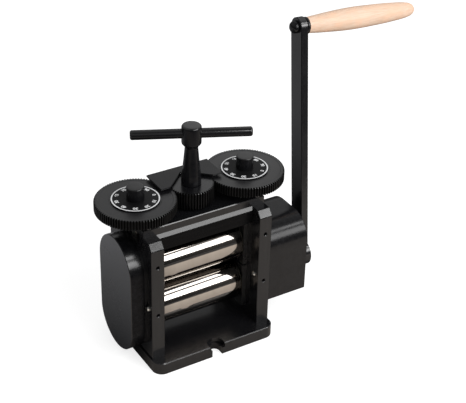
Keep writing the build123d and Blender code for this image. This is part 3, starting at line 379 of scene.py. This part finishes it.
def skin_of_rings(name, rings, material, crease=32.0, hoop=False):
    """Closed skin over an array of rings (ring, point, xyz): quads between neighbouring rings, and
    a fan from the middle of the first and last ring, or for a hoop quads from last to first."""
    count, around = rings.shape[:2]
    points = rings.reshape(-1, 3)
    i, j = np.meshgrid(np.arange(count if hoop else count - 1), np.arange(around), indexing="ij")
    k, n = (j + 1) % around, (i + 1) % count
    faces = np.stack([i * around + j, i * around + k, n * around + k, n * around + j], -1)
    faces = faces.reshape(-1, 4).tolist()
    if not hoop:
        points = np.concatenate([points, rings[[0, -1]].mean(axis=1)])
        j = np.arange(around)
        k, last = (j + 1) % around, (count - 1) * around
        faces += np.stack([np.full(around, count * around), k, j], -1).tolist()
        faces += np.stack([np.full(around, count * around + 1), last + j, last + k], -1).tolist()
    mesh = bpy.data.meshes.new(name)
    mesh.from_pydata((points * mm).tolist(), [], faces)
    mesh.materials.append(material)
    mesh.polygons.foreach_set("use_smooth", np.ones(len(mesh.polygons), bool))
    mesh.set_sharp_from_angle(angle=math.radians(crease))
    piece = bpy.data.objects.new(name, mesh)
    scene.collection.objects.link(piece)
    return piece


def turned(name, profile, foot, axis, material, around=96, crease=32.0, hoop=False):
    """Turned piece: point = foot + h * axis + r * (cos a * side + sin a * other), for each
    (r, h) of the profile and each angle a round the axis. Lengths are in millimetres."""
    axis = np.array(axis, float) / np.linalg.norm(axis)
    side = np.cross(axis, (0, 0, 1) if abs(axis[2]) < 0.9 else (0, 1, 0))
    side = side / np.linalg.norm(side)
    other = np.cross(axis, side)
    a = np.linspace(0, 2 * np.pi, around, endpoint=False)[None, :, None]
    r, h = np.array(profile, float).T[:, :, None, None]
    rings = np.array(foot, float) + h * axis + r * (np.cos(a) * side + np.sin(a) * other)
    return skin_of_rings(name, rings, material, crease, hoop)


roll_radius, roll_half_length = 27.5, 55.5
shoulder_radius, shoulder_start = 27.1, 53.3
end_chamfer = 1.0
journal_radius, gear_seat_radius, output_seat_radius = 12.5, 10.0, 11.0
left_end, left_seat_end = -91.4, -80.9
upper_right_end, output_seat_start, lower_right_end = 77.3, 83.5, 97.5
lower_axis_z, upper_axis_z = 57.0, 113.0
# Grinding lines are under 0.1 mm apart; they are drawn 0.7 mm apart so that they show. Widths are
# along the roll, and runs are how far a line or a smear goes on round it.
line_width, smear_width = 0.7 * mm, 9 * mm
line_run, smear_run = 500 / 3 * mm, 100 / 3 * mm
ground_steel = bpy.data.materials.new("ground_and_polished_roll_steel")
ground_steel.use_nodes = True
tree = ground_steel.node_tree
polished = tree.nodes["Principled BSDF"]
place = add_node(tree, "ShaderNodeTexCoord")
wheel = add_node(tree, "ShaderNodeMapping", {"Vector": place.outputs["Object"],
                 "Scale": (1 / line_width, 1 / line_run, 1 / line_run)})
lines = add_node(tree, "ShaderNodeTexNoise", {"Vector": wheel.outputs[0], "Scale": 1.0, "Detail": 3.0})
smear_place = add_node(tree, "ShaderNodeMapping", {"Vector": place.outputs["Object"],
                       "Scale": (1 / smear_width, 1 / smear_run, 1 / smear_run)})
smear = add_node(tree, "ShaderNodeTexNoise", {"Vector": smear_place.outputs[0], "Scale": 1.0,
                 "Detail": 3.0})
along = add_node(tree, "ShaderNodeSeparateXYZ", {0: place.outputs["Object"]})
out_from = add_node(tree, "ShaderNodeMath", {0: along.outputs["X"]}, operation="ABSOLUTE")
shoulder = add_node(tree, "ShaderNodeMapRange", {"Value": out_from.outputs[0],
                    "From Min": (shoulder_start - 0.2) * mm, "From Max": (shoulder_start + 0.1) * mm})
face_tint = add_node(tree, "ShaderNodeMix", {0: smear.outputs[0], 6: hex_linear("#c6c0ba"),
                     7: hex_linear("#aea79f")}, data_type="RGBA")
steel_tint = add_node(tree, "ShaderNodeMix", {0: shoulder.outputs["Result"], 6: face_tint.outputs[2],
                      7: hex_linear("#56534a")}, data_type="RGBA")
face_rough = add_node(tree, "ShaderNodeMapRange", {"Value": lines.outputs[0], "From Min": 0.3,
                      "From Max": 0.7, "To Min": 0.05, "To Max": 0.09})
steel_rough = add_node(tree, "ShaderNodeMix", {0: shoulder.outputs["Result"],
                       2: face_rough.outputs["Result"], 3: 0.42})
hone = add_node(tree, "ShaderNodeBump", {"Height": lines.outputs[0], "Strength": 0.06,
                "Distance": 0.03 * mm})
# Painted shade: ambient occlusion darkens the steel's colour where the two rolls and the side plates close
# in on it.
painted_nip_shade = add_node(tree, "ShaderNodeAmbientOcclusion", {"Color": steel_tint.outputs[2],
                     "Distance": 24 * mm})
tree.links.new(painted_nip_shade.outputs["Color"], polished.inputs["Base Color"])
tree.links.new(steel_rough.outputs[0], polished.inputs["Roughness"])
tree.links.new(hone.outputs[0], polished.inputs["Normal"])
polished.inputs["Metallic"].default_value = 1.0

# Profiles are (radius, x): the left journal with its gear seat, the left half of the roll and its
# mirror image, and the right journal, which on the lower roll goes on to the output gear's seat.
left_journal = [(gear_seat_radius, left_end), (gear_seat_radius, left_seat_end),
                (journal_radius, left_seat_end)]
half_roll = [(journal_radius, -roll_half_length), (shoulder_radius - end_chamfer, -roll_half_length),
             (shoulder_radius, end_chamfer - roll_half_length), (shoulder_radius, -shoulder_start),
             (roll_radius, -shoulder_start)]
whole_roll = half_roll + [(r, -x) for r, x in reversed(half_roll)]
lower_right_journal = [(journal_radius, output_seat_start), (output_seat_radius, output_seat_start),
                       (output_seat_radius, lower_right_end)]
for label, axis_z, right_journal in (("lower_roll", lower_axis_z, lower_right_journal),
                                     ("upper_roll", upper_axis_z, [(journal_radius, upper_right_end)])):
    outline = left_journal + whole_roll + right_journal
    ground_roll = turned("ground_" + label, eased(outline, 0.35, 3), (0, 0, axis_z), (1, 0, 0),
                         ground_steel, around=144)
    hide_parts(label)
    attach(ground_roll, label + "_body")


# ---- dial gears, discs, knobs and adjusting pinion ------------------------------------------------
# Hobbed spur gears of module 1, turned all over and blackened, with a disc and a plain knob
# screwed on. Tooth ends are chamfered on the lathe, and the broad faces keep faint rings from the
# facing cut, 0.3 mm apart on the real ones and drawn 1.3 mm apart so that they show.
def faced_black(name, axis_x, ring_step, low_rough, high_rough, top_shine=1.0, wet_from=0.3):
    """Blackened steel whose lathe rings, ring_step mm apart, run about an upright axis. Faces
    whose normal's height passes wet_from are coated, to a weight of top_shine."""
    cloud_size = 11 * mm
    rings_per_unit = 3.18    # rings that the wave texture makes in one unit at scale 1
    coat_rise = 0.45
    material = bpy.data.materials.new(name)
    material.use_nodes = True
    tree = material.node_tree
    shader = tree.nodes["Principled BSDF"]
    place = add_node(tree, "ShaderNodeTexCoord")
    centre = add_node(tree, "ShaderNodeMapping", {"Vector": place.outputs["Object"],
                      "Location": (-axis_x * mm, 0.0, 0.0)})
    rings = add_node(tree, "ShaderNodeTexWave", {"Vector": centre.outputs[0],
                     "Scale": 1 / (ring_step * mm) / rings_per_unit, "Distortion": 0.6,
                     "Detail": 2.0, "Detail Scale": 40.0}, wave_type="RINGS", rings_direction="Z")
    cloud = add_node(tree, "ShaderNodeTexNoise", {"Vector": place.outputs["Object"],
                     "Scale": 1 / cloud_size, "Detail": 4.0})
    both = add_node(tree, "ShaderNodeMath", {0: rings.outputs["Fac"], 1: cloud.outputs[0]},
                    operation="MULTIPLY")
    rough = add_node(tree, "ShaderNodeMapRange", {"Value": both.outputs[0], "To Min": low_rough,
                     "To Max": high_rough})
    tone = add_node(tree, "ShaderNodeMix", {0: cloud.outputs[0], 6: hex_linear("#0a0a0c"),
                    7: hex_linear("#151517")}, data_type="RGBA")
    groove = add_node(tree, "ShaderNodeBump", {"Height": rings.outputs["Fac"], "Strength": 0.08,
                      "Distance": 0.03 * mm})
    tree.links.new(tone.outputs[2], shader.inputs["Base Color"])
    tree.links.new(rough.outputs["Result"], shader.inputs["Roughness"])
    tree.links.new(groove.outputs[0], shader.inputs["Normal"])
    shader.inputs["Specular IOR Level"].default_value = 0.14
    shader.inputs["Coat IOR"].default_value = 1.6
    wet_coat(material, (0, 0, 1), wet_from, wet_from + coat_rise, 0.5 * (low_rough + high_rough),
             top_shine)
    return material


flank_points = 5
points_per_tooth = 2 * flank_points + 2


def tooth_outline(teeth, module, slack, tooth_at):
    """Gear outline as (radius, angle) arrays. Each flank is an involute: its angle from the
    tooth's middle is pi/2N - slack + inv(20 deg) - inv(at r), with inv(x) = tan x - x, and the
    tips and roots are arcs between flanks. Slack is in mm round the pitch circle."""
    pressure_angle = math.radians(20)
    root_flare = 1.15
    pitch = module * teeth / 2
    root = pitch - 1.25 * module
    base = pitch * math.cos(pressure_angle)
    flank = np.linspace(max(base * 1.0005, root), pitch + module, flank_points)
    pressure = np.arccos(base / flank)
    spread = (math.pi / 2 / teeth - slack / 4 / pitch + math.tan(pressure_angle) - pressure_angle
              - (np.tan(pressure) - pressure))
    radius = np.concatenate([[root], flank, flank[::-1], [root]])
    angle = np.concatenate([[-spread[0] * root_flare], -spread, spread[::-1],
                            [spread[0] * root_flare]])
    turns = math.radians(tooth_at) + 2 * math.pi * np.arange(teeth) / teeth
    return np.tile(radius, teeth), (turns[:, None] + angle[None, :]).ravel()


def rim_levels(root, tip, bottom, top):
    """(limit, z) levels of a toothed rim from its bottom face to its top, both ends chamfered."""
    slant, rise = 1.0, 0.9
    return [(root, bottom), (tip - slant, bottom), (tip, bottom + rise), (tip, top - rise),
            (tip - slant, top), (root, top)]


def gear_body(name, outline, levels, axis_x, material):
    """Gear skin from (limit, z) levels: each ring is the outline with its radius cut to the
    limit, so a limit under the tip makes a chamfer, and one under the roots a plain circle."""
    radius, angle = outline
    limit, z = np.array(levels, float).T[:, :, None]
    cut = np.minimum(radius[None, :], limit)
    rings = np.stack([axis_x + cut * np.cos(angle), cut * np.sin(angle), z + 0 * cut], -1)
    gear = skin_of_rings(name, rings, material, crease=28.0)
    # The tips, one face in each tooth's run of points, keep the gear's material. Painted shade, near
    # black, covers the rest of the tallest band of faces and of the chamfer bands above and below it.
    gear.data.materials.append(gap_shade_paint)
    tall = int(np.argmax(np.diff(z[:, 0])))
    for face in range((tall - 1) * len(radius), (tall + 2) * len(radius)):
        gear.data.polygons[face].material_index = int(face % points_per_tooth != flank_points)
    return gear


# Painted shade between the tips: the cut flanks and roots get a dull, almost black material that stands
# for the shade in the tooth gaps.
gap_patch_size = 1.4 * mm
gap_shade_paint = bpy.data.materials.new("painted_shade_in_tooth_gaps")
gap_shade_paint.use_nodes = True
tree = gap_shade_paint.node_tree
film = tree.nodes["Principled BSDF"]
place = add_node(tree, "ShaderNodeTexCoord")
gap_patch = add_node(tree, "ShaderNodeTexNoise", {"Vector": place.outputs["Object"],
                  "Scale": 1 / gap_patch_size, "Detail": 3.0})
gap_shade_tone = add_node(tree, "ShaderNodeMix", {0: gap_patch.outputs[0], 6: hex_linear("#030303"),
                     7: hex_linear("#0b0b0a")}, data_type="RGBA")
gap_shade_rough = add_node(tree, "ShaderNodeMapRange", {"Value": gap_patch.outputs[0], "To Min": 0.45,
                      "To Max": 0.7})
tree.links.new(gap_shade_tone.outputs[2], film.inputs["Base Color"])
tree.links.new(gap_shade_rough.outputs["Result"], film.inputs["Roughness"])
film.inputs["Specular IOR Level"].default_value = 0.1

dial_axis_x = 70.0
boss_radius, boss_bottom, boss_chamfer = 14.0, 178.3, 0.8
dial_bottom, dial_top = 188.0, 200.0
recess_inner, recess_outer, recess_depth, recess_slope = 29.0, 41.6, 0.25, 0.4
disc_radius, disc_top = 27.5, 201.5
knob_radius, knob_top, knob_chamfer = 10.0, 217.0, 0.9
hidden_radius = 20.0           # where the faces between gear and disc close to their middles
dial_outline = tooth_outline(teeth=90, module=1.0, slack=0.2, tooth_at=2.0)
dial_levels = [(boss_radius - boss_chamfer, boss_bottom), (boss_radius, boss_bottom + boss_chamfer),
               (boss_radius, dial_bottom)] + rim_levels(43.4, 46.2, dial_bottom, dial_top)
dial_levels += [(recess_outer, dial_top), (recess_outer - recess_slope, dial_top - recess_depth),
                (recess_inner + recess_slope, dial_top - recess_depth), (recess_inner, dial_top),
                (hidden_radius, dial_top)]
disc_profile = eased([(hidden_radius, dial_top), (disc_radius, dial_top), (disc_radius, disc_top),
                      (9.0, disc_top)], 0.45)
knob_profile = eased([(8.0, disc_top), (knob_radius, disc_top), (knob_radius, knob_top - knob_chamfer),
                      (knob_radius - knob_chamfer, knob_top), (3.0, knob_top)], 0.5)
for label, side in (("left", -1), ("right", 1)):
    # The gear's faces shine softly where they look up; the disc is painted flat, so that the
    # print stands out on it.
    faced = faced_black(f"blackened_faced_steel_{label}_dial", side * dial_axis_x, 1.3, 0.24, 0.40)
    flat_black = faced_black(f"matt_black_{label}_dial_disc", side * dial_axis_x, 1.1, 0.40, 0.55,
                             top_shine=0.12)
    upright = ((side * dial_axis_x, 0, 0), (0, 0, 1))
    dial_gear = gear_body(f"hobbed_{label}_dial_gear", dial_outline, dial_levels,
                          side * dial_axis_x, faced)
    disc = turned(f"faced_{label}_dial_disc", disc_profile, *upright, flat_black, around=128)
    knob = turned(f"turned_{label}_dial_knob", knob_profile, *upright, faced)
    for piece, node in ((dial_gear, "gear"), (disc, "disc"), (knob, "knob")):
        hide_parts(f"{label}_dial_{node}")
        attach(piece, f"{label}_dial")

pinion_bottom, pinion_top = 180.0, 201.0
turned_black = faced_black("blackened_turned_steel_spindle", 0.0, 0.9, 0.16, 0.30)
pinion_levels = ([(20.0, pinion_bottom)] + rim_levels(23.5, 26.2, pinion_bottom, pinion_top)
                 + [(10.0, pinion_top)])
pinion = gear_body("hobbed_adjusting_pinion", tooth_outline(teeth=50, module=1.0, slack=0.2, tooth_at=0.0),
                   pinion_levels, 0.0, turned_black)
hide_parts("adjusting_pinion")
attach(pinion, "t_handle")

# ---- dial print -----------------------------------------------------------------------------------
# White screen print on each disc: a ring near the edge and the numbers 0 to 90, one for each
# tenth of a turn. The ink is opaque, thin and slightly rough.
ink_patch = 0.7 * mm
ink_thickness = 0.03
ring_inner, ring_outer = 25.5, 27.0
number_radius, number_size, stroke_gain = 21.3, 5.6, 0.22
numbers_on_dial = 10
print_ink = bpy.data.materials.new("white_screen_print_ink")
print_ink.use_nodes = True
tree = print_ink.node_tree
ink = tree.nodes["Principled BSDF"]
place = add_node(tree, "ShaderNodeTexCoord")
patch = add_node(tree, "ShaderNodeTexNoise", {"Vector": place.outputs["Object"],
                 "Scale": 1 / ink_patch, "Detail": 2.0})
ink_tint = add_node(tree, "ShaderNodeMix", {0: patch.outputs[0], 6: hex_linear("#f4f4f4"),
                    7: hex_linear("#c9cbcd")}, data_type="RGBA")
ink_rough = add_node(tree, "ShaderNodeMapRange", {"Value": patch.outputs[0], "To Min": 0.45,
                     "To Max": 0.7})
tree.links.new(ink_tint.outputs[2], ink.inputs["Base Color"])
tree.links.new(ink_rough.outputs["Result"], ink.inputs["Roughness"])
ring_profile = [(ring_inner, disc_top), (ring_outer, disc_top), (ring_outer, disc_top + ink_thickness),
                (ring_inner, disc_top + ink_thickness)]
# dial, side of the mill, and the angle of its 0 in degrees from +X
for label, side, first_angle in (("left", -1, -9.0), ("right", 1, -52.06)):
    ring = turned(f"printed_ring_{label}", ring_profile, (side * dial_axis_x, 0, 0), (0, 0, 1),
                  print_ink, around=128, hoop=True)
    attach(ring, f"{label}_dial")
    for number in range(numbers_on_dial):
        letters = bpy.data.curves.new("dial_number", "FONT")
        letters.body = str(number * 10)
        letters.size = number_size * mm
        letters.offset = stroke_gain * mm
        letters.align_x, letters.align_y = "CENTER", "CENTER"
        letters.extrude = ink_thickness / 2 * mm
        draft = bpy.data.objects.new("dial_number", letters)
        scene.collection.objects.link(draft)
        bpy.context.view_layer.update()
        shape = bpy.data.meshes.new_from_object(draft.evaluated_get(
            bpy.context.evaluated_depsgraph_get()))
        bpy.data.objects.remove(draft)
        angle = math.radians(first_angle - 360.0 / numbers_on_dial * number)
        number_place = Vector((side * dial_axis_x + number_radius * math.cos(angle),
                               number_radius * math.sin(angle), disc_top + ink_thickness / 2))
        shape.transform(Matrix.Translation(number_place * mm)
                        @ Matrix.Rotation(angle - math.pi / 2, 4, "Z"))
        shape.materials.clear()
        shape.materials.append(print_ink)
        numeral = bpy.data.objects.new(f"printed_{label}_{number * 10}", shape)
        scene.collection.objects.link(numeral)
        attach(numeral, f"{label}_dial")

# ---- spindle and cross bar ------------------------------------------------------------------------
# Turned from bar: a foot on the pinion, a tapered neck and a round hub, cross-drilled for a plain
# bar with chamfered ends. Both are blackened and handled smooth, so they are glossier.
shaft_radius, shaft_bottom = 8.0, 164.9
foot_radius, hub_radius, hub_bottom, hub_top, hub_chamfer = 11.4, 11.2, 252.5, 274.2, 1.5
# (radius, z) from the shaft up: shaft, foot, taper, neck and hub
spindle_profile = [(shaft_radius - 1.0, shaft_bottom), (shaft_radius, shaft_bottom), (shaft_radius, 200.5),
                   (foot_radius, 200.9), (foot_radius, 205.0), (10.9, 213.0), (8.9, 231.0), (7.4, 247.8),
                   (hub_radius, hub_bottom), (hub_radius, hub_top - hub_chamfer),
                   (hub_radius - hub_chamfer, hub_top), (4.0, hub_top)]
spindle = turned("turned_spindle", eased(spindle_profile, 1.2, 5), (0, 0, 0), (0, 0, 1), turned_black)
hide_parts("spindle")
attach(spindle, "t_handle")

# Hands keep the bar bright all round, so its coat starts below the horizon.
handled_black = faced_black("blackened_steel_worn_by_hands", 0.0, 1.4, 0.14, 0.24, wet_from=-0.1)
bar_radius, bar_half_length, bar_chamfer, bar_z = 5.5, 67.25, 1.5, 263.9
bar_turn = math.radians(-24.8)
bar_line = (math.cos(bar_turn), math.sin(bar_turn), 0.0)
half_bar = [(2.0, -bar_half_length), (bar_radius - bar_chamfer, -bar_half_length),
            (bar_radius, bar_chamfer - bar_half_length)]
bar_profile = half_bar + [(r, -h) for r, h in reversed(half_bar)]
bar = turned("chamfered_cross_bar", eased(bar_profile, 0.5), (0, 0, bar_z), bar_line, handled_black)
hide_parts("cross_bar")
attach(bar, "t_handle")

# ---- handle bolt, ferrule and wooden grip ---------------------------------------------------------
# A domed bolt runs through the arm and the grip. The ferrule is black enamelled steel, and the
# grip is turned beech, sanded along the grain and sealed: pale straw with fine long fibres.
# The middle of the head's seat on the arm and the bolt's direction, as the grip's joint has them.
handle_point = np.array((167.4572, 51.9188, 334.4256))
handle_line = np.array((0.998026728, -0.011550401, -0.061719021))
bolt_radius, bolt_length, head_radius = 5.0, 140.0, 7.45
ferrule_start, ferrule_end, ferrule_radius, ferrule_chamfer = 10.3, 14.3, 10.0, 1.2
grip_bore, grip_length, grip_tail = 5.2, 156.0, 0.975
# (radius, distance along the bolt) of the dome from its tip, then the rim and the shank
bolt_profile = [(0.8, -8.0), (3.6, -7.3), (5.81, -5.76), (7.1, -4.0), (head_radius, -2.2),
                (head_radius, 0.0), (bolt_radius, 0.0), (bolt_radius, bolt_length), (3.0, bolt_length)]
domed_bolt = turned("domed_handle_bolt", eased(bolt_profile, 0.7), handle_point, handle_line,
                    cast_enamel, around=64)
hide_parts("handle_bolt")
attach(domed_bolt, "crank")
ferrule_profile = [(grip_bore, ferrule_start), (ferrule_radius - ferrule_chamfer, ferrule_start),
                   (ferrule_radius, ferrule_start + ferrule_chamfer), (ferrule_radius, ferrule_end),
                   (grip_bore, ferrule_end)]
ferrule = turned("enamelled_ferrule", eased(ferrule_profile, 0.5), handle_point, handle_line,
                 cast_enamel, around=72, hoop=True)
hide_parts("grip_ferrule")
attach(ferrule, "grip")

# Sizes of the grain across, across and along the grip: fibres, and the broader bands of the wood.
fibre_size = (0.9 * mm, 0.9 * mm, 34 * mm)
band_size = (5.5 * mm, 4.0 * mm, 75 * mm)
mottle_size = 14 * mm
beech = bpy.data.materials.new("sanded_beech")
beech.use_nodes = True
tree = beech.node_tree
wood = tree.nodes["Principled BSDF"]
side_line = np.cross(handle_line, (0, 0, 1.0))
side_line /= np.linalg.norm(side_line)
grain_frame = Matrix([side_line, np.cross(handle_line, side_line), handle_line]).transposed()
place = add_node(tree, "ShaderNodeTexCoord")
along_grip = {"Vector": place.outputs["Object"], "Location": (handle_point * mm).tolist(),
              "Rotation": grain_frame.to_euler()}
fibre_place = add_node(tree, "ShaderNodeMapping", {**along_grip, "Scale": fibre_size},
                       vector_type="TEXTURE")
fibres = add_node(tree, "ShaderNodeTexNoise", {"Vector": fibre_place.outputs[0], "Scale": 1.0,
                  "Detail": 4.0, "Roughness": 0.6})
band_place = add_node(tree, "ShaderNodeMapping", {**along_grip, "Scale": band_size},
                      vector_type="TEXTURE")
bands = add_node(tree, "ShaderNodeTexNoise", {"Vector": band_place.outputs[0], "Scale": 1.0,
                 "Detail": 2.0, "Distortion": 0.4})
mottle = add_node(tree, "ShaderNodeTexNoise", {"Vector": place.outputs["Object"],
                  "Scale": 1 / mottle_size, "Detail": 4.0})
pale = add_node(tree, "ShaderNodeMix", {0: bands.outputs[0], 6: hex_linear("#eed7c3"),
                7: hex_linear("#e6c7ae")}, data_type="RGBA")
fibre_depth = add_node(tree, "ShaderNodeMapRange", {"Value": fibres.outputs[0], "From Min": 0.38,
                       "From Max": 0.70, "To Max": 0.55})
streaked = add_node(tree, "ShaderNodeMix", {0: fibre_depth.outputs["Result"], 6: pale.outputs[2],
                    7: hex_linear("#cf9f7c")}, data_type="RGBA")
blush = add_node(tree, "ShaderNodeMapRange", {"Value": mottle.outputs[0], "From Min": 0.42,
                 "From Max": 0.66, "To Max": 0.6})
straw = add_node(tree, "ShaderNodeMix", {0: blush.outputs["Result"], 6: streaked.outputs[2],
                 7: hex_linear("#f3c6a6")}, data_type="RGBA")
wood_rough = add_node(tree, "ShaderNodeMapRange", {"Value": fibres.outputs[0], "To Min": 0.36,
                      "To Max": 0.56})
sanding = add_node(tree, "ShaderNodeBump", {"Height": fibres.outputs[0], "Strength": 0.25,
                   "Distance": 0.12 * mm})
tree.links.new(straw.outputs[2], wood.inputs["Base Color"])
tree.links.new(wood_rough.outputs["Result"], wood.inputs["Roughness"])
tree.links.new(sanding.outputs[0], wood.inputs["Normal"])


def smooth_run(x, known_x, known_y):
    """Cubic through known points: Hermite pieces whose slopes are the neighbours' chords."""
    slope = np.gradient(known_y, known_x)
    i = np.clip(np.searchsorted(known_x, x, side="right") - 1, 0, len(known_x) - 2)
    gap = known_x[i + 1] - known_x[i]
    t = (x - known_x[i]) / gap
    return ((1 + 2 * t) * (1 - t) ** 2 * known_y[i] + t * (1 - t) ** 2 * gap * slope[i]
            + t ** 2 * (3 - 2 * t) * known_y[i + 1] + t ** 2 * (t - 1) * gap * slope[i + 1])


# Radius against the share of the grip's length: a swell at two fifths, then the rounded tail.
known_share = np.array((0.0, 0.10, 0.21, 0.30, 0.40, 0.59, 0.78, 0.925, 0.955, grip_tail))
known_radius = np.array((9.3, 10.7, 11.9, 12.75, 13.2, 12.7, 11.3, 9.0, 8.0, 6.6))
share = np.linspace(0, grip_tail, 90)
swell = list(zip(smooth_run(share, known_share, known_radius), ferrule_end + grip_length * share))
tail = [(5.4, 168.0), (3.9, 169.3), (2.3, 170.0), (0.8, ferrule_end + grip_length)]
grip = turned("turned_beech_grip", [(grip_bore, ferrule_end)] + swell + tail, handle_point,
              handle_line, beech, around=96, crease=50)
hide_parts("wooden_grip")
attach(grip, "grip")
